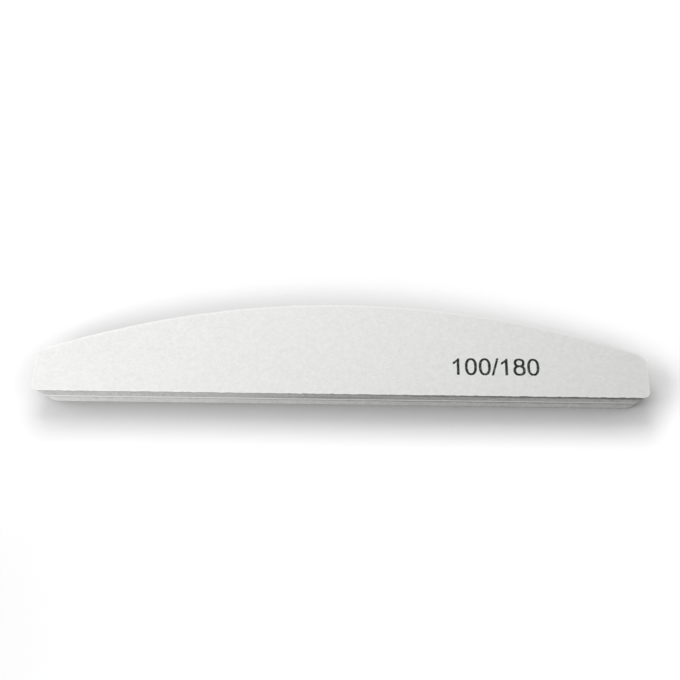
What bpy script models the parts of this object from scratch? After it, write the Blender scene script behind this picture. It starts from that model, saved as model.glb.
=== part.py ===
"""Half-moon nail buffer: two abrasive faces on foam pads, glued to a stiff plastic core.

Blender 4.5, metres, +Z up. The origin lies on the surface that the buffer rests on, under the middle of its
outline. +X runs along the straight edge, +Y points to the curved edge.
"""

import math

import bpy

# The die-cut outline, seen from above: a straight edge, two short square ends and one long arc
LENGTH = 0.178
WIDTH_AT_ENDS = 0.0124
ARC_RISE = 0.0156
CURVED_EDGE_CORNER_RADIUS = 0.0044

# The corners at the straight edge, which the die cuts rounder and rounder on its way down through the foam
UPPER_CORNER_RADIUS = 0.002
FOOT_CORNER_RADIUS = 0.005

# How far each kind of layer stands back from the outline at the cut edge
GRAIN_SETBACK = 0.00006
FOAM_SETBACK = 0.00022
ADHESIVE_SETBACK = 0.00034
CORE_SETBACK = 0.00004

# How thick each kind of layer is
GRAIN_100_THICKNESS = 0.00016
GRAIN_180_THICKNESS = 0.00009
PAPER_THICKNESS = 0.0003
ADHESIVE_THICKNESS = 0.0001
FOAM_THICKNESS = 0.00415
CORE_THICKNESS = 0.0008

# The seam that is left between one layer and the next
LAYER_SEAM = 0.00001

# The whole stack of eleven layers, with their ten seams
STACK_THICKNESS = GRAIN_100_THICKNESS + GRAIN_180_THICKNESS + CORE_THICKNESS + 10 * LAYER_SEAM
STACK_THICKNESS += 2 * PAPER_THICKNESS + 4 * ADHESIVE_THICKNESS + 2 * FOAM_THICKNESS

# Points nearer than this are one point where a layer's faces meet its cut edge
SAME_POINT = 0.000001

# How finely the round stretches are cut
LONG_ARC_STEPS = 36
CORNER_STEPS = 7

# Colour and roughness of each kind of layer
GRAIN_COLOUR, GRAIN_ROUGHNESS = (0.815, 0.823, 0.803), 0.92
PAPER_COLOUR, PAPER_ROUGHNESS = (0.27, 0.27, 0.26), 0.85
ADHESIVE_COLOUR, ADHESIVE_ROUGHNESS = (0.16, 0.16, 0.155), 0.50
UPPER_FOAM_COLOUR, LOWER_FOAM_COLOUR = (0.62, 0.625, 0.615), (0.80, 0.805, 0.79)
FOAM_ROUGHNESS = 0.90
CORE_COLOUR, CORE_ROUGHNESS = (0.92, 0.92, 0.905), 0.45

QUARTER_TURN = math.pi / 2


def clear_scene():
    """Remove every object, so that the script starts from nothing."""
    for existing in list(bpy.data.objects):
        bpy.data.objects.remove(existing, do_unlink=True)


def arc_points(centre, radius, start, end, steps):
    """Points along an arc, from the angle start to the angle end, both included."""
    angles = [start + (end - start) * step / steps for step in range(steps + 1)]
    return [(centre[0] + radius * math.cos(a), centre[1] + radius * math.sin(a)) for a in angles]


def corner_radius_at(height):
    """How round the corners at the straight edge are at a height in the stack."""
    depth_share = 1 - height / STACK_THICKNESS
    return UPPER_CORNER_RADIUS + depth_share * (FOOT_CORNER_RADIUS - UPPER_CORNER_RADIUS)


def half_moon_outline(setback, corner_radius):
    """The die-cut outline, counter-clockwise, moved inwards by setback all the way round."""
    half_length = LENGTH / 2
    half_width = (WIDTH_AT_ENDS + ARC_RISE) / 2
    long_radius = (half_length**2 + ARC_RISE**2) / (2 * ARC_RISE)
    long_centre_y = half_width - long_radius

    # The fillet between an end and the long arc touches both from inside
    upper_x = half_length - CURVED_EDGE_CORNER_RADIUS
    reach = long_radius - CURVED_EDGE_CORNER_RADIUS
    upper_y = long_centre_y + math.sqrt(reach**2 - upper_x**2)
    upper_turn = math.atan2(upper_y - long_centre_y, upper_x)

    lower_x = half_length - corner_radius
    lower_y = corner_radius - half_width
    lower_radius = corner_radius - setback
    upper_radius = CURVED_EDGE_CORNER_RADIUS - setback

    right = arc_points((lower_x, lower_y), lower_radius, -QUARTER_TURN, 0, CORNER_STEPS)
    right += arc_points((upper_x, upper_y), upper_radius, 0, upper_turn, CORNER_STEPS)
    left = [(-x, y) for x, y in reversed(right)]
    long_arc = arc_points(
        (0, long_centre_y), long_radius - setback, upper_turn, math.pi - upper_turn, LONG_ARC_STEPS
    )
    return right + long_arc[1:-1] + left


def principled(name, colour, roughness):
    """A material with a plain colour and roughness; nothing on the buffer is metal."""
    material = bpy.data.materials.new(name)
    material.use_nodes = True
    shader = material.node_tree.nodes["Principled BSDF"]
    shader.inputs["Base Color"].default_value = (*colour, 1)
    shader.inputs["Roughness"].default_value = roughness
    shader.inputs["Metallic"].default_value = 0
    return material


def grain_material(name):
    """Pale grey mineral grain in a clear binder."""
    return principled(name, GRAIN_COLOUR, GRAIN_ROUGHNESS)


def paper_material(name):
    """Grey latex paper."""
    return principled(name, PAPER_COLOUR, PAPER_ROUGHNESS)


def adhesive_material(name):
    """Acrylic glue on a thin carrier, grey where it has picked up dust."""
    return principled(name, ADHESIVE_COLOUR, ADHESIVE_ROUGHNESS)


def foam_material(name, colour):
    """Grey closed-cell foam."""
    return principled(name, colour, FOAM_ROUGHNESS)


def core_material(name):
    """White plastic sheet."""
    return principled(name, CORE_COLOUR, CORE_ROUGHNESS)


def cut_layer(collection, name, bottom, thickness, setback, material):
    """One flat layer, cut to the outline, with its underside at the height bottom. Returns its top."""
    points = half_moon_outline(setback, corner_radius_at(bottom + thickness / 2))
    curve = bpy.data.curves.new(name, "CURVE")
    curve.dimensions = "2D"
    curve.fill_mode = "BOTH"
    curve.extrude = thickness / 2
    spline = curve.splines.new("POLY")
    spline.points.add(len(points) - 1)
    for point, (x, y) in zip(spline.points, points):
        point.co = (x, y, 0, 1)
    spline.use_cyclic_u = True
    layer = bpy.data.objects.new(name, curve)
    layer.location.z = bottom + thickness / 2
    layer.data.materials.append(material)
    collection.objects.link(layer)
    weld = layer.modifiers.new("join_faces_to_edge", "WELD")
    weld.merge_threshold = SAME_POINT
    return bottom + thickness


def grain_coat(collection, name, bottom, thickness):
    """Abrasive grain with its binder, one grain deep."""
    return cut_layer(collection, name, bottom, thickness, GRAIN_SETBACK, grain_material(name))


def backing_paper(collection, name, bottom):
    """The paper that carries the grain. The die cuts it to the full outline."""
    return cut_layer(collection, name, bottom, PAPER_THICKNESS, 0, paper_material(name))


def adhesive_film(collection, name, bottom):
    """Double-sided film, squeezed back a little from the cut edge."""
    return cut_layer(
        collection, name, bottom, ADHESIVE_THICKNESS, ADHESIVE_SETBACK, adhesive_material(name)
    )


def foam_pad(collection, name, bottom, colour):
    """Springy foam, whose cut edge draws in from the outline."""
    return cut_layer(
        collection, name, bottom, FOAM_THICKNESS, FOAM_SETBACK, foam_material(name, colour)
    )


def core_sheet(collection, name, bottom):
    """The stiff sheet in the middle, which keeps the buffer straight."""
    return cut_layer(collection, name, bottom, CORE_THICKNESS, CORE_SETBACK, core_material(name))


def build_buffer():
    """Stack the layers from the face it lies on to the face that shows."""
    buffer = bpy.data.collections.new("nail_buffer")
    bpy.context.scene.collection.children.link(buffer)

    top = grain_coat(buffer, "grain_coat_180", 0, GRAIN_180_THICKNESS)
    top = backing_paper(buffer, "backing_paper_lower", top + LAYER_SEAM)
    top = adhesive_film(buffer, "outer_adhesive_lower", top + LAYER_SEAM)
    top = foam_pad(buffer, "foam_pad_lower", top + LAYER_SEAM, LOWER_FOAM_COLOUR)
    top = adhesive_film(buffer, "inner_adhesive_lower", top + LAYER_SEAM)
    top = core_sheet(buffer, "core_sheet", top + LAYER_SEAM)
    top = adhesive_film(buffer, "inner_adhesive_upper", top + LAYER_SEAM)
    top = foam_pad(buffer, "foam_pad_upper", top + LAYER_SEAM, UPPER_FOAM_COLOUR)
    top = adhesive_film(buffer, "outer_adhesive_upper", top + LAYER_SEAM)
    top = backing_paper(buffer, "backing_paper_upper", top + LAYER_SEAM)
    grain_coat(buffer, "grain_coat_100", top + LAYER_SEAM, GRAIN_100_THICKNESS)


clear_scene()
build_buffer()
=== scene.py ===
"""The looks of a half-moon nail buffer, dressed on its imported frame.

Two gritty faces on backing paper, two foam pads and a stiff core are cut by one die as a single laminate.
All is in metres with +Z up. +X runs along the straight edge, and +Y points from it to the curved edge.
"""

import logging
import math
import random
from collections.abc import Callable
from dataclasses import dataclass, replace
from enum import Enum

import bmesh
import bpy
from mathutils import Matrix, Vector, noise
from mathutils.bvhtree import BVHTree


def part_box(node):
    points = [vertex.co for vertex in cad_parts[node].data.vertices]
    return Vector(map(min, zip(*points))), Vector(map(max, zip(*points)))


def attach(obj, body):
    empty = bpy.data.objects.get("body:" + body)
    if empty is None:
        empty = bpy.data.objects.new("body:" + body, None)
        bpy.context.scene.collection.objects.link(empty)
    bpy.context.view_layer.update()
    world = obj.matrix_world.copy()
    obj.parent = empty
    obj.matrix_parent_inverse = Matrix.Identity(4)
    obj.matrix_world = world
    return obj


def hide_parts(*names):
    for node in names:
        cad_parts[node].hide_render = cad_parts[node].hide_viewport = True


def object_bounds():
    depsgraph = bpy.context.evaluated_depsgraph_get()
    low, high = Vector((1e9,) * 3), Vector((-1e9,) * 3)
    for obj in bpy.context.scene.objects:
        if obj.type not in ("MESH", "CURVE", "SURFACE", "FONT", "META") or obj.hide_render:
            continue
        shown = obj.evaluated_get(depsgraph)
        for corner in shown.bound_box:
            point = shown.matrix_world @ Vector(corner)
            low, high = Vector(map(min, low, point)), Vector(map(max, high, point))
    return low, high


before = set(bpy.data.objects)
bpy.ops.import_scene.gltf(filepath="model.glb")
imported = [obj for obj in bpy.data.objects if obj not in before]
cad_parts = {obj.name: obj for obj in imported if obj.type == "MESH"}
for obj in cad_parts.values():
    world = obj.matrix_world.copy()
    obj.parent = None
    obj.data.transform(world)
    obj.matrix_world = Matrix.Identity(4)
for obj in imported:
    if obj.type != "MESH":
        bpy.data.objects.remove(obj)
CAD_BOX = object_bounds()

Triple = tuple[float, float, float]
Colour = Triple
Levels = tuple[float, ...]
Mesh = bmesh.types.BMesh
Vert = bmesh.types.BMVert
Edge = bmesh.types.BMEdge
Face = bmesh.types.BMFace
Piece = bpy.types.Object
Socket = bpy.types.NodeSocket
Outputs = bpy.types.NodeOutputs
Surface = tuple[Socket, Socket, Socket]
Wall = tuple[list[list[Vert]], list[list[Face]]]

LOG = logging.getLogger("nail_buffer")
QUARTER_TURN = math.pi / 2
ALONG, ACROSS, UP = Vector((1, 0, 0)), Vector((0, 1, 0)), Vector((0, 0, 1))
WHITE = (1, 1, 1)
SHARP_ANGLE = math.radians(40)
SAME_POINT = 0.000001
SNAP = 0.00002

# The mean of a value that runs from 0 to 1
MIDDLE = 0.5

# How many finer layers the noise has for patches and streaks, and for specks and fibres
DETAIL, FINE_DETAIL = 3, 4

# How streaks are drawn out in height, and where dust begins to show and how sharp its edge is
STREAK_STRETCH = (1, 1, 0.12)
DUST_FLOOR = 0.6
DUST_CONTRAST = 6


class Facing(Enum):
    """Which way a layer's outer face points."""

    UPWARDS = 1
    DOWNWARDS = -1


class Shading(Enum):
    """How light runs over a piece's facets."""

    FACETED = "faceted"
    SMOOTH = "smooth"


def flat(place: Vector) -> Vector:
    """Drop a place to height zero."""
    return Vector((place.x, place.y, 0))


def ripple(size: float, place: Vector) -> float:
    """Find how far a gentle ripple reaches at a place, from 0 to its size."""
    return size * (1 + noise.noise(place)) / 2


def finished(bm: Mesh, name: str, shading: Shading) -> Piece:
    """Turn a mesh into an object of the scene, with its faces pointing out.

    Args:
        bm: The mesh, which is used up.
        name: The object's name.
        shading: Whether its facets show.

    Returns:
        The object.
    """
    bmesh.ops.remove_doubles(bm, verts=bm.verts, dist=SAME_POINT)
    bmesh.ops.recalc_face_normals(bm, faces=bm.faces)
    mesh = bpy.data.meshes.new(name)
    bm.to_mesh(mesh)
    bm.free()
    if shading is Shading.SMOOTH:
        mesh.shade_smooth()
        mesh.set_sharp_from_angle(angle=SHARP_ANGLE)
    piece = bpy.data.objects.new(name, mesh)
    bpy.context.scene.collection.objects.link(piece)
    return piece


@dataclass(frozen=True)
class DieCutOutline:
    """The outline that the die cuts, centred on its plan box.

    Seen from above it has a straight edge, two short square ends and one long arc, with a fillet at each
    corner. The two at the straight edge grow from the upper face to the foot, because the foam gives way.
    """

    length: float
    width: float
    thickness: float
    end_width: float = 0.0124
    upper_corner_radius: float = 0.002
    foot_corner_radius: float = 0.005
    curved_corner_radius: float = 0.0044

    @property
    def arc_radius(self) -> float:
        """The radius of the long arc, from its rise over half the length."""
        rise = self.width - self.end_width
        return ((self.length / 2) ** 2 + rise**2) / (2 * rise)

    @property
    def arc_centre(self) -> Vector:
        """The centre of the long arc."""
        return Vector((0, self.width / 2 - self.arc_radius, 0))

    @property
    def curved_corner(self) -> Vector:
        """The centre of the fillet between the right end and the long arc."""
        x = self.length / 2 - self.curved_corner_radius
        reach = self.arc_radius - self.curved_corner_radius
        return Vector((x, self.arc_centre.y + math.sqrt(reach**2 - x**2), 0))

    def straight_corner(self, radius: float) -> Vector:
        """Find the centre of a fillet of some radius between the straight edge and the right end."""
        return Vector((self.length / 2 - radius, radius - self.width / 2, 0))

    def inset_of(self, place: Vector, corner_radius: float) -> float:
        """Find how far a place lies inside the outline.

        Args:
            place: A point, whose height doesn't count.
            corner_radius: How round the corners at the straight edge are there.

        Returns:
            The distance to the nearest edge, with the corners at the arc taken as sharp.
        """
        from_straight_edge = place.y + self.width / 2
        from_end = self.length / 2 - abs(place.x)
        from_arc = self.arc_radius - (flat(place) - self.arc_centre).length
        across, along = corner_radius - from_end, corner_radius - from_straight_edge
        if across > 0 and along > 0:
            return corner_radius - math.hypot(across, along)
        return min(from_straight_edge, from_end, from_arc)

    def corner_radius_at(self, height: float) -> float:
        """Find how round the corners at the straight edge are at a height in the laminate."""
        growth = self.foot_corner_radius - self.upper_corner_radius
        return self.upper_corner_radius + (1 - height / self.thickness) * growth

    def round_corners(self, bm: Mesh) -> None:
        """Draw a layer's corners at the straight edge in to the radius of their height.

        Args:
            bm: The layer, cut to the outline of the upper face.
        """
        for vert in bm.verts:
            radius = self.corner_radius_at(vert.co.z)
            centre = self.straight_corner(radius) + UP * vert.co.z
            arm = Vector((abs(vert.co.x), vert.co.y, vert.co.z)) - centre
            reach = radius - self.inset_of(vert.co, self.upper_corner_radius)
            if arm.x > 0 > arm.y and arm.length > reach > 0:
                drawn = centre + arm * (reach / arm.length)
                vert.co.x = math.copysign(drawn.x, vert.co.x)
                vert.co.y = drawn.y

    def trace(self, bm: Mesh, setback: float, height: float, stride: float) -> None:
        """Draw the outline as one closed loop in an empty mesh.

        Args:
            bm: The empty mesh.
            setback: How far inside the outline the loop runs.
            height: The loop's height.
            stride: The length of one step along the loop.
        """
        lift = UP * height
        lower = self.straight_corner(self.upper_corner_radius) + lift
        upper = self.curved_corner + lift
        centre = self.arc_centre + lift
        upper_turn = math.atan2(upper.y - centre.y, upper.x)
        fillet = self.upper_corner_radius - setback

        tip = bm.verts.new(lower - Vector((0, fillet, 0)))
        tip = self.sweep(bm, tip, lower, QUARTER_TURN, stride)
        step = bmesh.ops.extrude_vert_indiv(bm, verts=[tip])["verts"][0]
        step.co.y = upper.y
        tip = self.sweep(bm, step, upper, upper_turn, stride)
        self.sweep(bm, tip, centre, QUARTER_TURN - upper_turn, stride)

        drawn = bm.verts[:] + bm.edges[:]
        bmesh.ops.mirror(bm, geom=drawn, axis="X", matrix=Matrix.Identity(4), merge_dist=SAME_POINT)
        loose_ends = [vert for vert in bm.verts if len(vert.link_edges) == 1]
        bmesh.ops.contextual_create(bm, geom=loose_ends)
        for edge in [edge for edge in bm.edges if edge.calc_length() > 2 * stride]:
            cuts = round(edge.calc_length() / stride) - 1
            bmesh.ops.subdivide_edges(bm, edges=[edge], cuts=cuts)

    @staticmethod
    def sweep(bm: Mesh, tip: Vert, centre: Vector, turn: float, stride: float) -> Vert:
        """Carry the loop's tip round an arc.

        Args:
            bm: The mesh that holds the loop.
            tip: The loop's last vertex.
            centre: The arc's centre.
            turn: The arc's angle, counter-clockwise.
            stride: The length of one step along it.

        Returns:
            The loop's new tip.
        """
        radius = (tip.co - centre).length
        steps = max(2, round(radius * turn / stride))
        turned = bmesh.ops.spin(bm, geom=[tip], cent=centre, axis=UP, angle=turn, steps=steps)
        return turned["geom_last"][0]


@dataclass(frozen=True)
class DieCut:
    """How far the cut strays inside the die's line: a tremor, a slow drift and a nick here and there."""

    tremor: float = 0.00013
    tremor_length: float = 0.0006
    drift: float = 0.00022
    drift_length: float = 0.0012
    mean_share: float = 0.30
    nick: float = 0.00030
    nick_length: float = 0.0009
    nick_threshold_share: float = 0.35

    def bite(self, place: Vector) -> float:
        """Find how far the cut strays at a place on the edge.

        Args:
            place: The place, whose height doesn't count.

        Returns:
            The distance inwards, never negative.
        """
        place = flat(place)
        tremor = self.mean_share + noise.noise(place / self.tremor_length)
        drift = self.mean_share + noise.noise(place / self.drift_length)
        nick = max(0, noise.noise(place / self.nick_length) - self.nick_threshold_share)
        return max(0, tremor * self.tremor / 2 + drift * self.drift / 2 + nick * self.nick)


def extrude_wall(bm: Mesh, rim: list[Edge], fall: float, count: int) -> Wall:
    """Extrude a closed rim straight up or down into a wall.

    Args:
        bm: The mesh.
        rim: The rim's edges.
        fall: How far the wall goes, upwards if positive.
        count: How many level rows of faces it has.

    Returns:
        The rings of vertices from the rim on, and the rows of faces between them.
    """
    rings = [list(dict.fromkeys(vert for edge in rim for vert in edge.verts))]
    rows = []
    for _ in range(count):
        made = bmesh.ops.extrude_edge_only(bm, edges=rim)["geom"]
        rings.append([part for part in made if isinstance(part, Vert)])
        rows.append([part for part in made if isinstance(part, Face)])
        bmesh.ops.translate(bm, verts=rings[-1], vec=UP * (fall / count))
        far = set(rings[-1])
        rim = [part for part in made if isinstance(part, Edge) and far.issuperset(part.verts)]
    bm.normal_update()
    bmesh.ops.recalc_face_normals(bm, faces=[face for row in rows for face in row])
    return rings, rows


def outwards_at(vert: Vert) -> Vector:
    """Find the level way out at a vertex of a layer's side, which lies all round the origin."""
    out = flat(sum((face.normal for face in vert.link_faces), Vector())).normalized()
    return out if out.dot(vert.co) > 0 else -out


def fixed_order(part: Vert | Edge | Face) -> list[Levels]:
    """Give a key that puts the vertices, edges or faces of a mesh in the same order at each run."""
    return sorted(vert.co[:] for vert in getattr(part, "verts", (part,)))


def close_rim(bm: Mesh) -> None:
    """Close every open rim of a mesh with one face each."""
    open_edges = [edge for edge in bm.edges if len(edge.link_faces) < 2]
    bmesh.ops.edgeloop_fill(bm, edges=open_edges)


def slice_up(bm: Mesh, axis: Vector, places: list[float], reach: float) -> None:
    """Cut a mesh through with upright planes.

    Args:
        bm: The mesh.
        axis: The planes' normal.
        places: Where along the axis they stand.
        reach: How near a plane a vertex is taken to lie on it.
    """
    for place in places:
        every_part = bm.verts[:] + bm.edges[:] + bm.faces[:]
        bmesh.ops.bisect_plane(bm, geom=every_part, dist=reach, plane_co=axis * place, plane_no=axis)


class Board:
    """A node tree that is being filled in."""

    def __init__(self, tree: bpy.types.NodeTree) -> None:
        """Start on an existing tree."""
        self.tree = tree

    def feed(self, target: Socket, value: object) -> None:
        """Link an input, or set its value.

        Args:
            target: The input.
            value: A socket or a plain value.
        """
        if isinstance(value, Socket):
            self.tree.links.new(value, target)
        else:
            target.default_value = (*value, 1) if target.type == "RGBA" else value

    def add(self, kind: str, feeds: dict[int | str, object], **settings: object) -> Outputs:
        """Add a node.

        Args:
            kind: Its type, without the prefix of all shader nodes.
            feeds: A value or a socket for each input.
            settings: Its own properties.

        Returns:
            Its outputs.
        """
        node = self.tree.nodes.new("ShaderNode" + kind)
        for key, value in settings.items():
            setattr(node, key, value)
        for label, value in feeds.items():
            self.feed(node.inputs[label], value)
        return node.outputs

    def calc(self, operation: str, *values: object, clamp: bool = False) -> Socket:
        """Do a sum with numbers or sockets, held between 0 and 1 if clamped."""
        return self.add("Math", dict(enumerate(values)), operation=operation, use_clamp=clamp)[0]

    def vector(self, operation: str, first: object, second: object) -> Socket:
        """Do a sum with two vectors, which gives a number for a dot product and otherwise a vector."""
        made = self.add("VectorMath", {0: first, 1: second}, operation=operation)
        return made["Value" if operation == "DOT_PRODUCT" else "Vector"]

    def scale(self, vector: Socket, factor: object) -> Socket:
        """Multiply a vector or a colour by a number."""
        return self.add("VectorMath", {0: vector, "Scale": factor}, operation="SCALE")[0]

    def centred(self, value: Socket, depth: object) -> Socket:
        """Turn a value from 0 to 1 into a swing about zero of some depth."""
        return self.calc("MULTIPLY", self.calc("SUBTRACT", value, MIDDLE), depth)

    def spread(self, value: Socket, low: float, high: float) -> Socket:
        """Spread a value from 0 to 1 over a range."""
        return self.add("MapRange", {"Value": value, "To Min": low, "To Max": high})[0]

    def blend(self, share: object, first: object, second: object) -> Socket:
        """Mix two colours, of which the second shows by a share."""
        return self.add("Mix", {0: share, 6: first, 7: second}, data_type="RGBA")[2]

    def place(self, size: object) -> Socket:
        """Give the object's own coordinates, counted in units of one size."""
        return self.scale(self.add("TexCoord", {})["Object"], self.calc("DIVIDE", 1, size))

    def cells(self, size: object, feature: str) -> Outputs:
        """Pack irregular cells of a size, and give the outputs for one of their features."""
        return self.add("TexVoronoi", {"Vector": self.place(size), "Scale": 1}, feature=feature)

    def cloud(self, size: object, detail: int, stretch: Triple | None = None) -> Socket:
        """Add soft noise.

        Args:
            size: How large its lumps are, as a number or a socket.
            detail: How many finer layers it has.
            stretch: How it is squeezed along each axis, if it is.

        Returns:
            Its value, from 0 to 1.
        """
        where = self.place(size)
        if stretch:
            where = self.add("Mapping", {"Vector": where, "Scale": stretch})[0]
        return self.add("TexNoise", {"Vector": where, "Scale": 1, "Detail": detail})["Fac"]

    def broken(self, mask: Socket, size: object) -> Socket:
        """Break a mask up into patches of a size."""
        patches = self.calc("ADD", self.cloud(size, DETAIL), MIDDLE)
        return self.calc("MULTIPLY", mask, patches, clamp=True)

    def attribute(self, name: str) -> Socket:
        """Read one of a mesh's own number attributes."""
        return self.add("Attribute", {}, attribute_name=name)["Fac"]


COLOUR_LABELS = ("colour", "pale", "dull", "wear_and_highlight_colour", "dust")


@dataclass(frozen=True)
class Effect:
    """A shader node group that several finishes share, built the first time that it is used.

    Its inputs bear the names of a finish's fields.
    """

    name: str
    inputs: tuple[str, ...]
    outputs: tuple[str, ...]
    lay_out: Callable[[Board, Outputs], tuple[Socket, ...]]

    def group(self) -> bpy.types.NodeTree:
        """Give the node group, and build it if it isn't there yet.

        Returns:
            The node group.
        """
        tree = bpy.data.node_groups.get(self.name)
        if tree:
            return tree
        tree = bpy.data.node_groups.new(self.name, "ShaderNodeTree")
        for way, labels in (("INPUT", self.inputs), ("OUTPUT", self.outputs)):
            for label in labels:
                kind = "NodeSocketColor" if label in COLOUR_LABELS else "NodeSocketFloat"
                tree.interface.new_socket(label, in_out=way, socket_type=kind)
        given = tree.nodes.new("NodeGroupInput").outputs
        result = tree.nodes.new("NodeGroupOutput").inputs
        for made, socket in zip(self.lay_out(Board(tree), given), result):
            tree.links.new(made, socket)
        return tree

    def use(self, board: Board, finish: object, **others: object) -> Outputs:
        """Place the effect, fed by the finish's own fields where no other value is given."""
        feeds = {label: others.get(label) or getattr(finish, label) for label in self.inputs}
        return board.add("Group", feeds, node_tree=self.group())


def lay_out_grain(board: Board, given: Outputs) -> tuple[Socket, Socket]:
    """Pack grains, each of its own tone, with odd pale and dull ones and slow patches over all.

    Args:
        board: The nodes.
        given: The effect's inputs.

    Returns:
        The colour and the height.
    """
    grains = board.cells(given["grain_size"], "F1")
    dice = board.add("SeparateColor", {0: grains["Color"]})
    toned = given["colour"]
    for die, label in enumerate(("pale", "dull")):
        is_odd = board.calc("LESS_THAN", dice[die], given["odd_share"])
        toned = board.blend(is_odd, toned, given[label])
    patch = board.cloud(given["patch_size"], DETAIL)
    grain_tone = board.centred(dice[2], given["tone_spread"])
    tone = board.calc("ADD", grain_tone, board.centred(patch, given["patch_depth"]))
    dome = board.calc("SUBTRACT", 1, grains["Distance"])
    return board.scale(toned, board.calc("ADD", tone, 1)), board.calc("MULTIPLY", dome, dice[2])


def lay_out_wear_and_highlight(board: Board, given: Outputs) -> tuple[Socket]:
    """Make a rim paler in broken patches, where its mask is high: wear, and on the grain's edge a painted
    highlight.

    Args:
        board: The nodes.
        given: The effect's inputs.

    Returns:
        The colour.
    """
    strength = board.calc("MULTIPLY", given["rim"], given["wear_and_highlight"])
    mask = board.broken(strength, given["break_size"])
    return (board.blend(mask, given["colour"], given["wear_and_highlight_colour"]),)


def lay_out_cut(board: Board, given: Outputs) -> tuple[Socket, Socket]:
    """Mark a side with the upright streaks that the die leaves, and lodge sanding dust in it.

    Args:
        board: The nodes.
        given: The effect's inputs.

    Returns:
        The colour and the height.
    """
    streak = board.cloud(given["streak_size"], DETAIL, STREAK_STRETCH)
    tone = board.calc("ADD", board.centred(streak, given["streak_depth"]), 1)
    specks = board.cloud(given["dust_size"], FINE_DETAIL)
    lodged = board.calc("SUBTRACT", board.calc("ADD", specks, given["dust_share"]), DUST_FLOOR)
    mask = board.calc("MULTIPLY", lodged, DUST_CONTRAST, clamp=True)
    return board.blend(mask, board.scale(given["colour"], tone), given["dust"]), streak


MINERAL_GRAIN = Effect(
    "mineral_grain",
    ("colour", "pale", "dull", "grain_size", "odd_share", "tone_spread", "patch_size", "patch_depth"),
    ("colour", "height"),
    lay_out_grain,
)
RIM_WEAR_AND_HIGHLIGHT = Effect("rim_wear_and_highlight", ("colour", "wear_and_highlight_colour", "rim", "break_size", "wear_and_highlight"), ("colour",), lay_out_wear_and_highlight)
CUT_MARKS = Effect(
    "cut_marks",
    ("colour", "dust", "streak_size", "streak_depth", "dust_size", "dust_share"),
    ("colour", "height"),
    lay_out_cut,
)


@dataclass(frozen=True, kw_only=True)
class Finish:
    """What every finish has: its name and slot, its colour, how rough it is and how deep its relief is.

    The roughness is varied from place to place by the two steps of its spread.
    """

    name: str
    slot: str
    colour: Colour
    roughness: float
    roughness_spread: tuple[float, float]
    relief: float
    coat: float = 0
    gloss: float = 0.5

    def surface(self, board: Board) -> Surface:
        """Lay out the colour, the value that the roughness follows, and the height of the relief."""
        raise NotImplementedError

    def material(self) -> bpy.types.Material:
        """Make the material.

        Returns:
            The material, with the surface on its shader.
        """
        material = bpy.data.materials.new(self.name)
        material.use_nodes = True
        material.diffuse_color = (*self.colour, 1)
        board = Board(material.node_tree)
        colour, follows, height = self.surface(board)
        low, high = (self.roughness + step for step in self.roughness_spread)
        bump = board.add("Bump", {"Strength": 1, "Distance": self.relief, "Height": height})
        shader = material.node_tree.nodes["Principled BSDF"]
        shader.inputs["Roughness"].default_value = self.roughness
        feeds = {
            "Base Color": colour,
            "Roughness": board.spread(follows, low, high),
            "Metallic": 0,
            "Coat Weight": self.coat,
            "Specular IOR Level": self.gloss,
            "Normal": bump[0],
        }
        for label, value in feeds.items():
            board.feed(shader.inputs[label], value)
        return material


@dataclass(frozen=True, kw_only=True)
class RimWearAndHighlightFinish(Finish):
    """A finish that is paler along the rim: wear, and on the grain's edge a painted highlight."""

    wear_and_highlight_colour: Colour
    break_size: float
    wear_and_highlight: float

    def pale_rim(self, board: Board, colour: Socket) -> Socket:
        """Make a colour paler along the rim: wear, and on the grain's edge a painted highlight."""
        return RIM_WEAR_AND_HIGHLIGHT.use(board, self, colour=colour, rim=board.attribute("rim"))["colour"]


@dataclass(frozen=True, kw_only=True)
class GrainFinish(RimWearAndHighlightFinish):
    """Mineral grain in a pale binder, or ink on it with a few grain tips bare."""

    pale: Colour
    dull: Colour
    grain_size: float
    wear_and_highlight: float = 0.9
    patch_size: float = 0.0012
    odd_share: float = 0.02
    tone_spread: float = 0.06
    patch_depth: float = 0.15

    def surface(self, board: Board) -> Surface:
        """Lay out grains of odd tones, paler along the rim with wear and a painted highlight."""
        grain = MINERAL_GRAIN.use(board, self)
        return self.pale_rim(board, grain["colour"]), grain["height"], grain["height"]


@dataclass(frozen=True, kw_only=True)
class SheetFinish(Finish):
    """Plastic or glue whose cut edge shows: streaks from the die, and dust that it has caught."""

    dust: Colour
    streak_size: float
    streak_depth: float
    dust_size: float
    dust_share: float

    def surface(self, board: Board) -> Surface:
        """Lay out the plain colour with the marks of the cut."""
        cut = CUT_MARKS.use(board, self)
        return cut["colour"], cut["height"], cut["height"]


@dataclass(frozen=True, kw_only=True)
class PaperFinish(SheetFinish, RimWearAndHighlightFinish):
    """Latex paper, with its cut fibres, streaks and lodged dust."""

    fibre_size: float
    fibre_stretch: Triple

    def surface(self, board: Board) -> Surface:
        """Lay out flat fibres, streaked by the cut and rubbed along the rim.

        Args:
            board: The nodes.

        Returns:
            The colour, the value that the roughness follows, and the height.
        """
        cut = CUT_MARKS.use(board, self)
        fibres = board.cloud(self.fibre_size, FINE_DETAIL, self.fibre_stretch)
        return self.pale_rim(board, cut["colour"]), fibres, board.calc("ADD", fibres, cut["height"])


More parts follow.
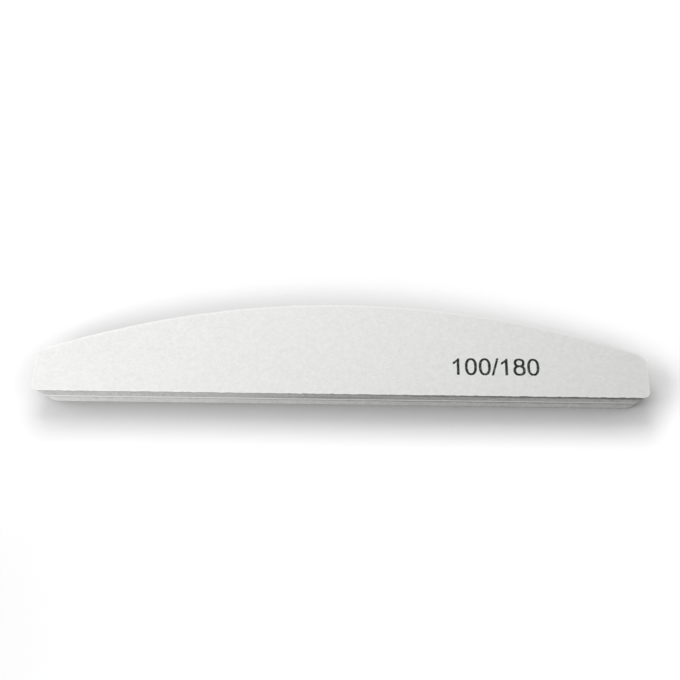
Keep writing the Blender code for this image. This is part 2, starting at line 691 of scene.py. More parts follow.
@dataclass(frozen=True, kw_only=True)
class FoamFinish(SheetFinish):
    """Closed-cell foam: cells cut open, thin pale cell walls, hollows darkened with painted shade, dust,
    and dark smears that are partly glue and partly painted shade.
    """

    wall_colour: Colour
    pit_shade_and_patch_colour: Colour
    glue_and_shade_colour: Colour
    cell_size: float
    cell_contrast: float
    patch_size: float
    patch_shares: tuple[float, float]
    glue_and_shade_break_size: float
    streak_height_share: float

    def surface(self, board: Board) -> Surface:
        """Lay out cells and hollows with painted shade, streaked by the cut, with dark smears of glue and
        painted shade over them.

        Args:
            board: The nodes.

        Returns:
            The colour, the value that the roughness follows, and the height.
        """
        gap = board.cells(self.cell_size, "DISTANCE_TO_EDGE")["Distance"]
        hollow = board.calc("MULTIPLY", gap, self.cell_contrast, clamp=True)
        # Painted shade: the cells' hollows take the darker colour and their thin walls the paler one
        skin = board.blend(hollow, self.wall_colour, self.colour)
        # Painted shade in the sunk pits, darker in deeper ones
        skin = board.blend(board.attribute("pit_shade"), skin, self.pit_shade_and_patch_colour)
        # Random darker patches, in the same colour as the painted pit shade
        patch = board.cloud(self.patch_size, DETAIL)
        skin = board.blend(board.spread(patch, *self.patch_shares), skin, self.pit_shade_and_patch_colour)
        cut = CUT_MARKS.use(board, self, colour=skin)
        # Dark smear near the seams: glue, and painted shade under the overhanging sheets and beside the
        # core
        glue_and_shade_level = board.broken(board.attribute("glue_and_shade"), self.glue_and_shade_break_size)
        dent = board.calc("SUBTRACT", 1, hollow)
        streak = board.calc("MULTIPLY", cut["height"], self.streak_height_share)
        colour = board.blend(glue_and_shade_level, cut["colour"], self.glue_and_shade_colour)
        return colour, patch, board.calc("ADD", dent, streak)


def carry(piece: Piece, finish: Finish, *nodes: str) -> None:
    """Dress a piece and fix it to the buffer.

    Args:
        piece: The piece.
        finish: Its finish.
        nodes: The layers of the frame that it stands for.
    """
    piece.data.materials.append(finish.material())
    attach(piece, "root")
    if nodes:
        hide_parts(*nodes)
    LOG.info("built %s with %d faces", piece.name, len(piece.data.polygons))


@dataclass(kw_only=True)
class Layer:
    """A layer of the laminate, which stands for one node of the frame."""

    node: str
    name: str
    finish: Finish
    outline: DieCutOutline
    cut: DieCut = DieCut()
    setback: float = 0
    stride: float = 0.0004
    row_count: int = 1

    @property
    def extent(self) -> tuple[float, float]:
        """The heights of the layer's underside and of its upper side."""
        low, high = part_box(self.node)
        return low.z, high.z

    def raise_side(self) -> tuple[Mesh, list[list[Vert]], list[list[Face]]]:
        """Raise the layer's plain side from the height of its underside.

        Returns:
            The mesh, its rings of vertices and its rows of faces, from the foot up.
        """
        low, high = self.extent
        bm = bmesh.new()
        self.outline.trace(bm, self.setback, low, self.stride)
        rings, rows = extrude_wall(bm, bm.edges[:], high - low, self.row_count)
        self.outline.round_corners(bm)
        return bm, rings, rows

    def fix(self, bm: Mesh, shading: Shading) -> Piece:
        """Fix the modelled layer in the laminate.

        Args:
            bm: The layer's mesh, which is used up.
            shading: Whether its facets show.

        Returns:
            The finished piece.
        """
        piece = finished(bm, self.name, shading)
        carry(piece, self.finish, self.node)
        return piece


@dataclass(kw_only=True)
class GrainCoat(Layer):
    """A coat of grain: a sheet of facets with a tip on each, cut ragged along its rim."""

    facing: Facing
    headroom: float
    seed: int
    setback: float = 0.00001
    stride: float = 0.00025
    facet: float = 0.00036
    bed_share: float = 0.55
    jitter_share: float = 0.30
    smallest_tipped_share: float = 0.25
    tip_power: int = 2
    swell: float = 0.000012
    swell_length: float = 0.003
    rim_width: float = 0.0008
    straight_edge_share: float = 0.3

    def build(self) -> Piece:
        """Model the coat and fix it on its paper.

        Returns:
            The finished piece.
        """
        low, high = self.extent
        outer, inner = (high, low) if self.facing is Facing.UPWARDS else (low, high)
        bm = bmesh.new()
        self.outline.trace(bm, self.setback, outer, self.stride)
        close_rim(bm)
        self.lay_facets(bm)
        rim = [edge for edge in bm.edges if edge.is_boundary]
        sheet = list(bm.faces)
        rings, _ = extrude_wall(bm, rim, inner - outer, 1)
        self.outline.round_corners(bm)
        for vert in rings[0] + rings[1]:
            vert.co -= outwards_at(vert) * self.cut.bite(vert.co)
        close_rim(bm)
        self.raise_grain(bm, sheet, outer, high - low)
        self.mark_rim(bm)
        return self.fix(bm, Shading.FACETED)

    def lay_facets(self, bm: Mesh) -> None:
        """Cut the flat sheet into facets and shift their corners.

        Args:
            bm: A mesh that holds one flat face.
        """
        for axis, reach in ((ALONG, self.outline.length / 2), (ACROSS, self.outline.width / 2)):
            steps = round(2 * reach / self.facet)
            slice_up(bm, axis, [2 * reach * step / steps - reach for step in range(1, steps)], SNAP)
        dice = random.Random(self.seed)
        shift = self.facet * self.jitter_share
        for vert in bm.verts:
            if not vert.is_boundary:
                vert.co.x += dice.uniform(-shift, shift)
                vert.co.y += dice.uniform(-shift, shift)

    def raise_grain(self, bm: Mesh, sheet: list[Face], outer: float, depth: float) -> None:
        """Put a tip on each facet and let the bed swell gently.

        Args:
            bm: The coat's mesh.
            sheet: The facets.
            outer: The height that the tallest tip may reach.
            depth: The coat's whole thickness.
        """
        way = self.facing.value
        dice = random.Random(self.seed + 1)
        reach = depth - self.headroom - depth * self.bed_share
        for vert in {vert for face in sheet for vert in face.verts}:
            swell = ripple(self.swell, vert.co / self.swell_length)
            vert.co.z = outer - way * (self.headroom + reach + swell)
        whole = [face for face in sheet if face.calc_area() > self.facet**2 * self.smallest_tipped_share]
        for tip in bmesh.ops.poke(bm, faces=whole, offset=0)["verts"]:
            tip.co.z += way * reach * dice.random() ** self.tip_power

    def mark_rim(self, bm: Mesh) -> None:
        """Store how pale each vertex is made: 0 inside, up to 1 at the curved edge, less at the straight
        one.

        Args:
            bm: The coat's mesh.
        """
        rim = bm.verts.layers.float.new("rim")
        for vert in bm.verts:
            inset = self.outline.inset_of(vert.co, self.outline.corner_radius_at(vert.co.z))
            # The paleness is wear with a painted highlight, which is strongest along the curved edge
            end_share = (vert.co.y + self.outline.width / 2) / self.outline.end_width
            wear_and_highlight = min(1, max(self.straight_edge_share, end_share))
            vert[rim] = wear_and_highlight * max(0, 1 - inset / self.rim_width)


@dataclass(kw_only=True)
class BackingPaper(Layer):
    """A sheet of paper whose cut edge is ragged and a little rounded by the die."""

    stride: float = 0.00025
    row_count: int = 3
    rounding: float = 0.00006
    fibre: float = 0.00003
    fibre_length: float = 0.00025

    def build(self) -> Piece:
        """Model the sheet and fix it in the laminate.

        Returns:
            The finished piece.
        """
        low, high = self.extent
        bm, rings, _ = self.raise_side()
        for row, ring in enumerate(rings):
            rounded = self.rounding if row in (0, self.row_count) else 0
            for vert in ring:
                fibre = ripple(self.fibre, vert.co / self.fibre_length)
                vert.co -= outwards_at(vert) * (self.cut.bite(vert.co) + rounded + fibre)
        close_rim(bm)
        rim = bm.verts.layers.float.new("rim")
        for vert in bm.verts:
            vert[rim] = 1 if vert.co.z > high - SNAP or vert.co.z < low + SNAP else 0
        return self.fix(bm, Shading.SMOOTH)


def level_at(levels: Levels, along_share: float) -> float:
    """Read a level between the even steps that levels are given at.

    Args:
        levels: The levels, from start to end.
        along_share: How far along.

    Returns:
        The level there.
    """
    steps = len(levels) - 1
    place = min(max(along_share, 0), 1) * steps
    before = min(int(place), steps - 1)
    return levels[before] + (place - before) * (levels[before + 1] - levels[before])


@dataclass(kw_only=True)
class FoamPad(Layer):
    """A foam pad with cells cut open in its side, which the die has drawn in, most of all at the top.

    A glue-and-shade level is how dark the smear over the side is at a seam, from 0 to 1, at even steps
    from left to right: partly glue, partly painted shade under the sheets and beside the core.
    A kind of pit is how many faces it takes, how wide its rim is and how deep it is; deeper pits get
    darker painted shade.
    """

    lean: float
    top_glue_and_shade: Levels
    bottom_glue_and_shade: Levels
    seed: int
    setback: float = 0.00010
    row_count: int = 12
    tuck: float = 0.00010
    tuck_power: int = 4
    draw_in: float = 0.00012
    sway: float = 0.00010
    sway_length: float = 0.004
    jitter_share: float = 0.26
    glue_and_shade_height: float = 0.0010
    pit_kind_shares: tuple[Triple, ...] = ((0.16, 0.20, 0.34), (0.24, 0.26, 0.22), (0.22, 0.32, 0.12))

    def build(self) -> Piece:
        """Model the pad and fix it in the laminate.

        Returns:
            The finished piece.
        """
        bm, rings, rows = self.raise_side()
        self.shape_side(rings)
        close_rim(bm)
        bmesh.ops.recalc_face_normals(bm, faces=bm.faces)
        self.open_cells(bm, [face for row in rows[1:-1] for face in row])
        self.lay_glue_and_shade(bm)
        piece = self.fix(bm, Shading.SMOOTH)
        return piece

    def lay_glue_and_shade(self, bm: Mesh) -> None:
        """Store how much dark smear covers each vertex near the seams above and below: glue that the die
        has dragged, and painted shade.

        Args:
            bm: The pad's mesh.
        """
        low, high = self.extent
        glue_and_shade = bm.verts.layers.float.new("glue_and_shade")
        for vert in bm.verts:
            along_share = vert.co.x / self.outline.length + MIDDLE
            for glue_and_shade_level, away in ((self.top_glue_and_shade, high - vert.co.z), (self.bottom_glue_and_shade, vert.co.z - low)):
                # Full over one glue-and-shade height, and gone at the end of the next
                fading = min(1, max(0, 2 - away / self.glue_and_shade_height))
                vert[glue_and_shade] = max(vert[glue_and_shade], fading * level_at(glue_and_shade_level, along_share))

    def shape_side(self, rings: list[list[Vert]]) -> None:
        """Draw the side in between its two glued rims and shift its vertices.

        Args:
            rings: The side's rings of vertices.
        """
        dice = random.Random(self.seed)
        low, high = self.extent
        row_height = (high - low) / self.row_count
        for row, ring in enumerate(rings):
            share = row / self.row_count
            bulge = math.sin(math.pi * share)
            hollow = self.draw_in * bulge + self.lean * share + self.tuck * share**self.tuck_power
            is_free = row not in (0, self.row_count)
            for vert in ring:
                sway = self.sway * noise.noise(vert.co / self.sway_length) * bulge
                out = outwards_at(vert)
                along = out.cross(UP) * dice.uniform(-1, 1) * self.jitter_share * self.stride
                rise = UP * dice.uniform(-1, 1) * self.jitter_share * row_height
                vert.co += along * is_free + rise * is_free - out * (hollow + sway)

    def open_cells(self, bm: Mesh, faces: list[Face]) -> None:
        """Sink cut cells of three sizes into the side, with painted shade stored on each, darker in deeper
        pits.

        Args:
            bm: The pad's mesh.
            faces: The faces of its side.
        """
        dice = random.Random(self.seed + 1)
        pit_shade = bm.verts.layers.float.new("pit_shade")
        faces.sort(key=fixed_order)
        dice.shuffle(faces)
        start = 0
        for how_many_share, rim_share, depth_share in self.pit_kind_shares:
            count = round(len(faces) * how_many_share)
            chosen = faces[start : start + count]
            start += count
            rim, depth = self.stride * rim_share, self.stride * depth_share
            bmesh.ops.inset_individual(bm, faces=chosen, thickness=rim, depth=-depth, use_even_offset=True)
            for vert in (vert for face in chosen for vert in face.verts):
                # Painted shade, darker in deeper pits
                vert[pit_shade] = depth_share / self.pit_kind_shares[0][2]


@dataclass(kw_only=True)
class CoreSheet(Layer):
    """The stiff plastic sheet in the middle, sheared clean, with softened corners."""

    setback: float = 0.00006
    rounding: float = 0.00010
    sway: float = 0.00006
    sway_length: float = 0.003

    def build(self) -> Piece:
        """Model the sheet and fix it in the laminate.

        Returns:
            The finished piece.
        """
        bm, rings, _ = self.raise_side()
        for vert in rings[0] + rings[1]:
            vert.co -= outwards_at(vert) * ripple(self.sway, flat(vert.co) / self.sway_length)
        rims = [edge for edge in bm.edges if edge.is_boundary]
        close_rim(bm)
        bmesh.ops.recalc_face_normals(bm, faces=bm.faces)
        bmesh.ops.bevel(
            bm,
            geom=rims,
            offset=self.rounding,
            offset_type="OFFSET",
            segments=2,
            profile=0.5,
            affect="EDGES",
            material=-1,
        )
        return self.fix(bm, Shading.SMOOTH)


@dataclass
class GlueFilms:
    """The four films of glue, which keep the shape that the frame gives them."""

    nodes: tuple[str, ...]
    finish: SheetFinish

    def dress(self) -> None:
        """Give each film of the frame the glue's finish."""
        material = self.finish.material()
        for name in self.nodes:
            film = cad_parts[name]
            film.data.materials.clear()
            film.data.materials.append(material)
            LOG.info("dressed %s", name)


@dataclass
class GritMark:
    """The grit mark: plain figures printed on the upper face, a thin film of ink that follows the grain.

    Sizes of strokes and figures are shares of the type size, which is a little more than a figure and its
    margins.
    """

    name: str
    finish: GrainFinish
    coat: Piece
    type_size: float = 0.0071
    start_x: float = 0.03301
    baseline_y: float = -0.00770
    figures: str = "100/180"
    figure_advance_share: float = 0.556
    slash_advance_share: float = 0.278
    height_share: float = 0.716
    overshoot_share: float = 0.012
    side_stroke_share: float = 0.110
    cap_stroke_share: float = 0.090
    nought_width_share: float = 0.485
    lower_ring_height_share: float = 0.545
    ring_width_shares: tuple[float, float] = (1.02, 0.91)
    squareness: float = 2.35
    round_steps: int = 56
    film: float = 0.000012
    sunk: float = 0.00003
    weave: float = 0.00012
    tremble: float = 0.000035
    tremble_length: float = 0.0003
    seed: int = 1

    def build(self) -> Piece:
        """Print the figures on the coat.

        Returns:
            The finished piece.
        """
        bm = bmesh.new()
        pen_x = self.start_x
        drawings = {"1": self.one, "0": self.nought, "8": self.eight, "/": self.slash}
        for figure in self.figures:
            share = self.slash_advance_share if figure == "/" else self.figure_advance_share
            advance = share * self.type_size
            glyph = drawings[figure]()
            glyph.transform(Matrix.Translation((pen_x + advance / 2, self.baseline_y, 0)))
            mesh = bpy.data.meshes.new("figure")
            glyph.to_mesh(mesh)
            glyph.free()
            bm.from_mesh(mesh)
            bpy.data.meshes.remove(mesh)
            pen_x += advance
        self.refine(bm, pen_x)
        self.drape(bm)
        piece = finished(bm, self.name, Shading.SMOOTH)
        carry(piece, self.finish)
        return piece

    def thicken(self, bm: Mesh) -> Mesh:
        """Give flat strokes the film's thickness, upwards from height zero.

        Args:
            bm: The strokes.

        Returns:
            The same mesh.
        """
        bmesh.ops.recalc_face_normals(bm, faces=bm.faces)
        bmesh.ops.solidify(bm, geom=bm.faces[:], thickness=self.film)
        lowest = min(vert.co.z for vert in bm.verts)
        bmesh.ops.translate(bm, verts=bm.verts, vec=(0, 0, -lowest))
        return bm

    def ring(self, centre_share: float, width_share: float, height_share: float) -> Mesh:
        """Draw one closed round stroke, a little square in its corners.

        Args:
            centre_share: The height of its centre over the baseline.
            width_share: Its width.
            height_share: Its height.

        Returns:
            The stroke as a thin solid.
        """
        bm = bmesh.new()
        for trim in (0, 1):
            width = (width_share - 2 * trim * self.side_stroke_share) * self.type_size
            height = (height_share - 2 * trim * self.cap_stroke_share) * self.type_size
            loop = bmesh.ops.create_circle(bm, segments=self.round_steps, radius=1)["verts"]
            for vert in loop:
                spread = abs(vert.co.x) ** self.squareness + abs(vert.co.y) ** self.squareness
                vert.co *= spread ** (-1 / self.squareness)
            bmesh.ops.scale(bm, verts=loop, vec=(width / 2, height / 2, 1))
        bmesh.ops.bridge_loops(bm, edges=bm.edges[:])
        bmesh.ops.translate(bm, verts=bm.verts, vec=(0, centre_share * self.type_size, 0))
        return self.thicken(bm)

    def nought(self) -> Mesh:
        """Draw the figure 0."""
        height = self.height_share + 2 * self.overshoot_share
        return self.ring(self.height_share / 2, self.nought_width_share, height)

    def eight(self) -> Mesh:
        """Draw the figure 8 as two rings that share a stroke at the waist.

        Returns:
            The figure as a thin solid.
        """
        both = self.height_share + 2 * self.overshoot_share + self.cap_stroke_share
        lower = both * self.lower_ring_height_share
        upper = both - lower
        centres = (lower / 2 - self.overshoot_share, self.height_share + self.overshoot_share - upper / 2)
        rings = [
            finished(self.ring(centre, self.nought_width_share * width, height), "ring", Shading.FACETED)
            for centre, width, height in zip(centres, self.ring_width_shares, (lower, upper))
        ]
        joined = rings[0].modifiers.new("join", "BOOLEAN")
        joined.operation = "UNION"
        joined.object = rings[1]
        bpy.context.view_layer.update()
        result = bmesh.new()
        result.from_object(rings[0], bpy.context.evaluated_depsgraph_get())
        # The union's parts come in no fixed order
        for parts in (result.verts, result.edges, result.faces):
            rank = {part: place for place, part in enumerate(sorted(parts, key=fixed_order))}
            parts.sort(key=rank.get)
        for ring in rings:
            bpy.data.objects.remove(ring)
        return result

    def polygon(self, corner_shares: tuple[tuple[float, float], ...]) -> Mesh:
        """Draw a flat shape from its corners, counter-clockwise, and thicken it.

        Args:
            corner_shares: The corners, as shares of the type size.

        Returns:
            The shape as a thin solid.
        """
        bm = bmesh.new()
        corners = [bm.verts.new((x * self.type_size, y * self.type_size, 0)) for x, y in corner_shares]
        bm.faces.new(corners)
        return self.thicken(bm)

    def one(self) -> Mesh:
        """Draw the figure 1 as a thin solid: an upright stem and a flag that falls to the left."""
        right = 0.093
        left = right - self.side_stroke_share
        top = self.height_share
        corner_shares = (
            (left, 0),
            (right, 0),
            (right, top),
            (right - 0.068, top),
            (right - 0.150, top - 0.090),
            (right - 0.270, top - 0.168),
            (right - 0.270, top - 0.270),
            (right - 0.186, top - 0.228),
            (left, top - 0.168),
        )
        return self.polygon(corner_shares)

    def slash(self) -> Mesh:
        """Draw the slanting stroke between the two numbers as a thin solid."""
        foot, head = -self.overshoot_share, self.height_share + self.overshoot_share
        lean, half_stroke = 0.104, 0.049
        corner_shares = (
            (-lean - half_stroke, foot),
            (-lean + half_stroke, foot),
            (lean + half_stroke, head),
            (lean - half_stroke, head),
        )
        return self.polygon(corner_shares)

    def refine(self, bm: Mesh, end_x: float) -> None:
        """Cut the figures finely enough to follow the grain.

        Args:
            bm: The figures.
            end_x: Where the last figure ends.
        """
        low = self.baseline_y - self.type_size * self.overshoot_share
        high = self.baseline_y + self.type_size
        for axis, start, end in ((ALONG, self.start_x, end_x), (ACROSS, low, high)):
            steps = round((end - start) / self.weave)
            places = [start + (end - start) * (step + MIDDLE) / steps for step in range(steps)]
            slice_up(bm, axis, places, SAME_POINT)

    def drape(self, bm: Mesh) -> None:
        """Lay the figures down on the coat's grain, with a slightly broken outline.

        Args:
            bm: The figures, flat at height zero.
        """
        grain = bmesh.new()
        grain.from_mesh(self.coat.data)
        ground = BVHTree.FromBMesh(grain)
        grain.free()
        rim = bm.verts.layers.float.new("rim")
        sides = {vert for face in bm.faces if abs(face.normal.z) < MIDDLE for vert in face.verts}
        above = CAD_BOX[1][2] + self.type_size
        noise.seed_set(self.seed)
        for vert in bm.verts:
            lift = self.film if vert.co.z > self.film / 2 else -self.sunk
            drift = noise.noise_vector(flat(vert.co) / self.tremble_length) * self.tremble
            place = Vector((vert.co.x + drift.x, vert.co.y + drift.y, above))
            vert.co = ground.ray_cast(place, -UP)[0]
            vert.co.z += lift
            vert[rim] = 1 if vert in sides else 0


@dataclass(frozen=True)
class SoftBox:
    """A square softbox that points at the middle of the floor."""

    name: str
    place: Triple
    side: float
    watts: float

    @property
    def beam(self) -> Vector:
        """The way that the lamp points."""
        return -Vector(self.place).normalized()

    def light_on(self, board: Board, where: Socket) -> Socket:
        """Work out how brightly the lamp alone lights white card on the floor.

        Args:
            board: The nodes.
            where: The place on the floor.

        Returns:
            The brightness that is seen there.
        """
        ray = board.vector("SUBTRACT", where, self.place)
        reach = board.vector("DOT_PRODUCT", ray, tuple(self.beam))
        distance_squared = board.vector("DOT_PRODUCT", ray, ray)
        spread = board.calc("MULTIPLY", distance_squared, distance_squared)
        strength = self.watts * self.place[2] / math.pi**2
        return board.calc("MULTIPLY", board.calc("DIVIDE", reach, spread), strength)

    def hang(self) -> None:
        """Put the lamp up."""
        lamp = bpy.data.lights.new(self.name, "AREA")
        lamp.shape = "SQUARE"
        lamp.size = self.side
        lamp.energy = self.watts
        holder = bpy.data.objects.new(self.name, lamp)
        turn = self.beam.to_track_quat("-Z", "Y")
        holder.matrix_world = Matrix.Translation(self.place) @ turn.to_matrix().to_4x4()
        bpy.context.scene.collection.objects.link(holder)


@dataclass
class Studio:
    """The pale floor, the soft light and the camera."""

    lamps: tuple[SoftBox, ...]
    floor_side: float = 6.0
    floor_colour: Colour = (0.80, 0.80, 0.80)
    floor_seen_share: float = 1.14
    sky_strength: float = 0.150
    sky_gloss_share: float = 0.8
    shade_reach: float = 0.0135
    shade_share: float = 0.92
    shade_samples: int = 16
    focal_length_mm: float = 45.0
    film_width_mm: float = 36.0
    elevation_degrees: float = 67.72
    yaw_degrees: float = 7.371
    roll_degrees: float = -6.27
    distance: float = 0.24935
    aim: tuple[float, float] = (0.00099, 0.00269)

    def build(self) -> None:
        """Set up the floor, the sky, the lamps and the camera."""
        self.lay_floor()
        self.light_sky()
        for lamp in self.lamps:
            lamp.hang()
        self.set_camera()

    @staticmethod
    def choose(board: Board, lit: Socket, seen: Socket, target: Socket) -> None:
        """Show one shader to the rays that light the buffer, and another to those that are seen.

        Args:
            board: The nodes.
            lit: The shader that gives light.
            seen: The shader for camera, glossy and transmission rays.
            target: The input that takes the result.
        """
        path = board.add("LightPath", {})
        camera_or_gloss = board.calc("MAXIMUM", path["Is Camera Ray"], path["Is Glossy Ray"])
        is_seen = board.calc("MAXIMUM", camera_or_gloss, path["Is Transmission Ray"])
        board.feed(target, board.add("MixShader", {0: is_seen, 1: lit, 2: seen})[0])

    def lay_floor(self) -> None:
        """Lay the floor, paper white where it is seen and plain pale where it gives light."""
        bm = bmesh.new()
        bmesh.ops.create_grid(bm, x_segments=1, y_segments=1, size=self.floor_side / 2)
        floor = finished(bm, "studio_floor", Shading.FACETED)
        material = bpy.data.materials.new("studio_paper")
        material.use_nodes = True
        tree = material.node_tree
        tree.nodes.remove(tree.nodes["Principled BSDF"])
        board = Board(tree)
        plain = board.add("BsdfDiffuse", {"Color": self.floor_colour})[0]
        white = board.add("BsdfDiffuse", {"Color": self.evened_white(board)})[0]
        self.choose(board, plain, white, tree.nodes["Material Output"].inputs["Surface"])
        floor.data.materials.append(material)

    def evened_white(self, board: Board) -> Socket:
        """Make up for the fall-off of the lamps' light, and deepen the soft shade round the buffer.

        Args:
            board: The nodes.

        Returns:
            The colour that makes the lit floor just paper white away from the buffer.
        """
        where = board.add("TexCoord", {})["Object"]
        light = self.sky_strength
        for lamp in self.lamps:
            light = board.calc("ADD", lamp.light_on(board, where), light)
        reach = {"Distance": self.shade_reach}
        openness = board.add("AmbientOcclusion", reach, samples=self.shade_samples)["AO"]
        shade = board.calc("MULTIPLY_ADD", openness, self.shade_share, 1 - self.shade_share)
        return board.calc("MULTIPLY", board.calc("DIVIDE", self.floor_seen_share, light), shade)

    def light_sky(self) -> None:
        """Light all round softly, and show white where the floor ends."""
        world = bpy.data.worlds.new("studio_sky")
        bpy.context.scene.world = world
        world.use_nodes = True
        nodes = world.node_tree.nodes
        board = Board(world.node_tree)
        board.feed(nodes["Background"].inputs["Color"], WHITE)
        board.feed(nodes["Background"].inputs["Strength"], self.sky_strength)
        is_camera_ray = board.add("LightPath", {})["Is Camera Ray"]
        brightness = board.calc("MAXIMUM", is_camera_ray, self.sky_gloss_share)
        seen = board.add("Background", {"Color": WHITE, "Strength": brightness})[0]
        self.choose(board, nodes["Background"].outputs[0], seen, nodes["World Output"].inputs["Surface"])

    def set_camera(self) -> None:
        """Set the camera at the photograph's angle, aimed at a point of the buffer's upper face."""
        turns = (("Z", self.yaw_degrees), ("X", 90 - self.elevation_degrees), ("Z", self.roll_degrees))
        turn = Matrix.Translation((*self.aim, CAD_BOX[1][2]))
        for axis, degrees in turns:
            turn @= Matrix.Rotation(math.radians(degrees), 4, axis)
        lens = bpy.data.cameras.new("studio_camera")
        lens.lens = self.focal_length_mm
        lens.sensor_width = self.film_width_mm
        lens.clip_start = self.distance / 100
        lens.clip_end = self.floor_side * 2
        camera = bpy.data.objects.new("studio_camera", lens)
        camera.matrix_world = turn @ Matrix.Translation(UP * self.distance)
        bpy.context.scene.collection.objects.link(camera)
        bpy.context.scene.camera = camera
        bpy.context.scene.view_settings.view_transform = "Standard"


GRAIN_100 = GrainFinish(
    name="grain_100",
    slot="grain_100",
    colour=(0.805, 0.813, 0.793),
    roughness=0.95,
    roughness_spread=(0, -0.12),
    relief=0.00003,
    pale=(0.93, 0.93, 0.92),
    dull=(0.70, 0.71, 0.69),
    wear_and_highlight_colour=(0.93, 0.93, 0.92),
    grain_size=0.00016,
    break_size=0.00048,
)
GRAIN_180 = replace(
    GRAIN_100,
    name="grain_180",
    slot="grain_180",
    colour=(0.845, 0.850, 0.832),
    roughness=0.93,
    relief=0.00002,
    wear_and_highlight_colour=(0.90, 0.90, 0.89),
    grain_size=0.00009,
    break_size=0.00027,
)
PAPER = PaperFinish(
    name="latex_paper",
    slot="backing_paper",
    colour=(0.27, 0.27, 0.26),
    roughness=0.85,
    roughness_spread=(-0.1, 0.1),
    relief=0.00002,
    wear_and_highlight_colour=(0.36, 0.36, 0.35),
    break_size=0.00072,
    wear_and_highlight=0.7,
    dust=(0.52, 0.52, 0.51),
    streak_size=0.00018,
    streak_depth=0.35,
    dust_size=0.00027,
    dust_share=0.10,
    fibre_size=0.00009,
    fibre_stretch=(0.3, 0.3, 1.6),
)
# A paler copy of the paper for the lower sheet: painted light that lifts its shaded edge at the foot
LIGHTENED_PAPER = replace(PAPER, name="lightened_paper", colour=(0.42, 0.42, 0.41), wear_and_highlight_colour=(0.52, 0.52, 0.51))
UPPER_FOAM = FoamFinish(
    name="grey_foam",
    slot="grey_foam",
    colour=(0.62, 0.625, 0.615),
    roughness=0.90,
    roughness_spread=(-0.06, 0.06),
    relief=0.00004,
    wall_colour=(0.71, 0.715, 0.705),
    pit_shade_and_patch_colour=(0.45, 0.455, 0.45),
    dust=(0.78, 0.78, 0.77),
    glue_and_shade_colour=(0.18, 0.18, 0.175),
    cell_size=0.00022,
    cell_contrast=2.2,
    patch_size=0.00198,
    patch_shares=(-0.12, 0.5),
    glue_and_shade_break_size=0.00088,
    streak_size=0.00044,
    streak_depth=0.16,
    streak_height_share=0.4,
    dust_size=0.000286,
    dust_share=0.06,
)
# A paler copy of the upper foam: the extra paleness is painted light, standing for the light that the
# lower pad catches
LOWER_FOAM = replace(
    UPPER_FOAM,
    name="pale_grey_foam",
    slot="pale_grey_foam",
    colour=(0.80, 0.805, 0.79),
    wall_colour=(0.87, 0.875, 0.86),
    pit_shade_and_patch_colour=(0.62, 0.625, 0.615),
    dust=(0.86, 0.86, 0.85),
)
CORE = SheetFinish(
    name="core_plastic",
    slot="core_plastic",
    colour=(0.92, 0.92, 0.905),
    roughness=0.45,
    roughness_spread=(-0.08, 0.12),
    relief=0.00001,
    dust=(0.66, 0.66, 0.65),
    streak_size=0.00030,
    streak_depth=0.10,
    dust_size=0.0004,
    dust_share=0.04,
    coat=0.05,
)
GLUE = replace(
    CORE,
    name="grey_glue",
    slot="adhesive",
    colour=(0.16, 0.16, 0.155),
    roughness=0.50,
    dust=(0.42, 0.42, 0.41),
    streak_size=0.0004,
    streak_depth=0.4,
    dust_size=0.0003,
    dust_share=0.12,
    coat=0,
)
INK = replace(
    GRAIN_100,
    name="black_ink",
    colour=(0.016, 0.018, 0.017),
    roughness=0.60,
    roughness_spread=(0, 0.2),
    relief=0.00002,
    gloss=0.2,
    pale=(0.35, 0.35, 0.34),
    dull=(0.016, 0.018, 0.017),
    wear_and_highlight_colour=(0.35, 0.35, 0.34),
    break_size=0.00032,
    wear_and_highlight=0.25,
    patch_size=0.00144,
    odd_share=0.05,
    tone_spread=0.5,
    patch_depth=0.5,
)

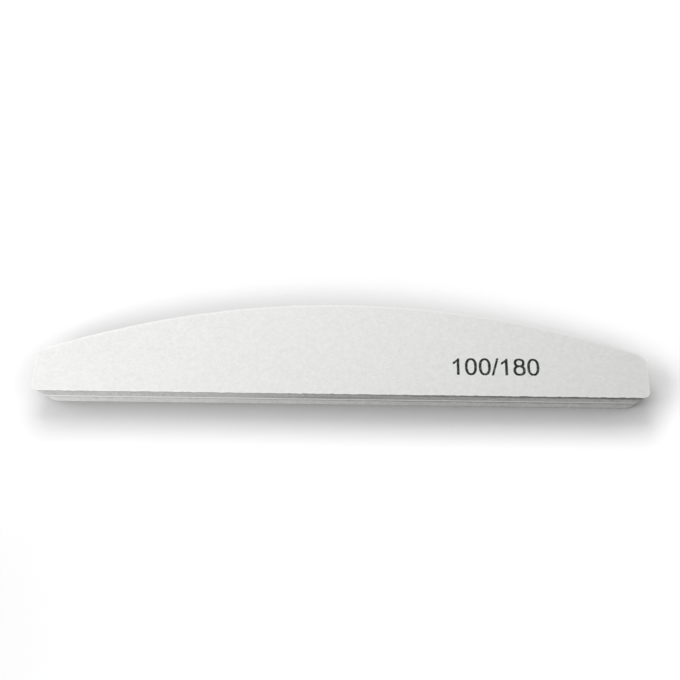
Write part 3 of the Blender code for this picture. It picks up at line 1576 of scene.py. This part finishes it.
LAMPS = (
    SoftBox("left_softbox", (-0.613, 0.0, 0.514), 0.45, 2.656),
    SoftBox("right_softbox", (0.210, -0.085, 0.268), 0.15, 0.100),
    SoftBox("back_softbox", (-0.032, 0.182, 0.236), 0.20, 0.500),
    SoftBox("front_softbox", (-0.180, -0.131, 0.090), 0.12, 0.200),
)


def main() -> None:
    """Build the buffer layer by layer, then light it."""
    logging.basicConfig(level=logging.INFO, format="%(name)s: %(message)s")
    outline = DieCutOutline(*(Vector(CAD_BOX[1]) - Vector(CAD_BOX[0])))

    gritty_faces = (
        (100, Facing.UPWARDS, GRAIN_100, 0.00002),
        (180, Facing.DOWNWARDS, GRAIN_180, SAME_POINT),
    )
    upper_coat, _ = [
        GrainCoat(
            node=f"grain_coat_{grit}",
            name=f"gritty_face_{grit}",
            finish=finish,
            outline=outline,
            facing=facing,
            headroom=headroom,
            seed=grit,
        ).build()
        for grit, facing, finish, headroom in gritty_faces
    ]
    for side, finish in (("upper", PAPER), ("lower", LIGHTENED_PAPER)):
        node, name = f"backing_paper_{side}", f"paper_sheet_{side}"
        BackingPaper(node=node, name=name, finish=finish, outline=outline).build()
    FoamPad(
        node="foam_pad_upper",
        name="foam_layer_upper",
        finish=UPPER_FOAM,
        outline=outline,
        lean=0.00005,
        # Painted shade under the upper sheet, deeper towards the right end, mixed with the glue smear
        top_glue_and_shade=(0.12, 0.06, 0.08, 0.36, 0.72, 0.86, 0.92),
        bottom_glue_and_shade=(0.03, 0.03, 0.06, 0.50, 0.25, 0.05, 0),
        glue_and_shade_height=0.0012,
        seed=0,
    ).build()
    FoamPad(
        node="foam_pad_lower",
        name="foam_layer_lower",
        finish=LOWER_FOAM,
        outline=outline,
        lean=0.00012,
        # Painted shade under the core, mixed with the glue smear
        top_glue_and_shade=(0.30, 0.22, 0.28, 0.36, 0.54, 0.56, 0.50),
        bottom_glue_and_shade=(0, 0, 0, 0.06, 0.08, 0.06, 0.05),
        seed=1,
    ).build()
    CoreSheet(node="core_sheet", name="stiff_core", finish=CORE, outline=outline).build()
    films = [f"{place}_adhesive_{side}" for place in ("outer", "inner") for side in ("upper", "lower")]
    GlueFilms(tuple(films), GLUE).dress()
    GritMark("grit_mark", INK, upper_coat).build()
    Studio(LAMPS).build()


if __name__ == "__main__":
    main()
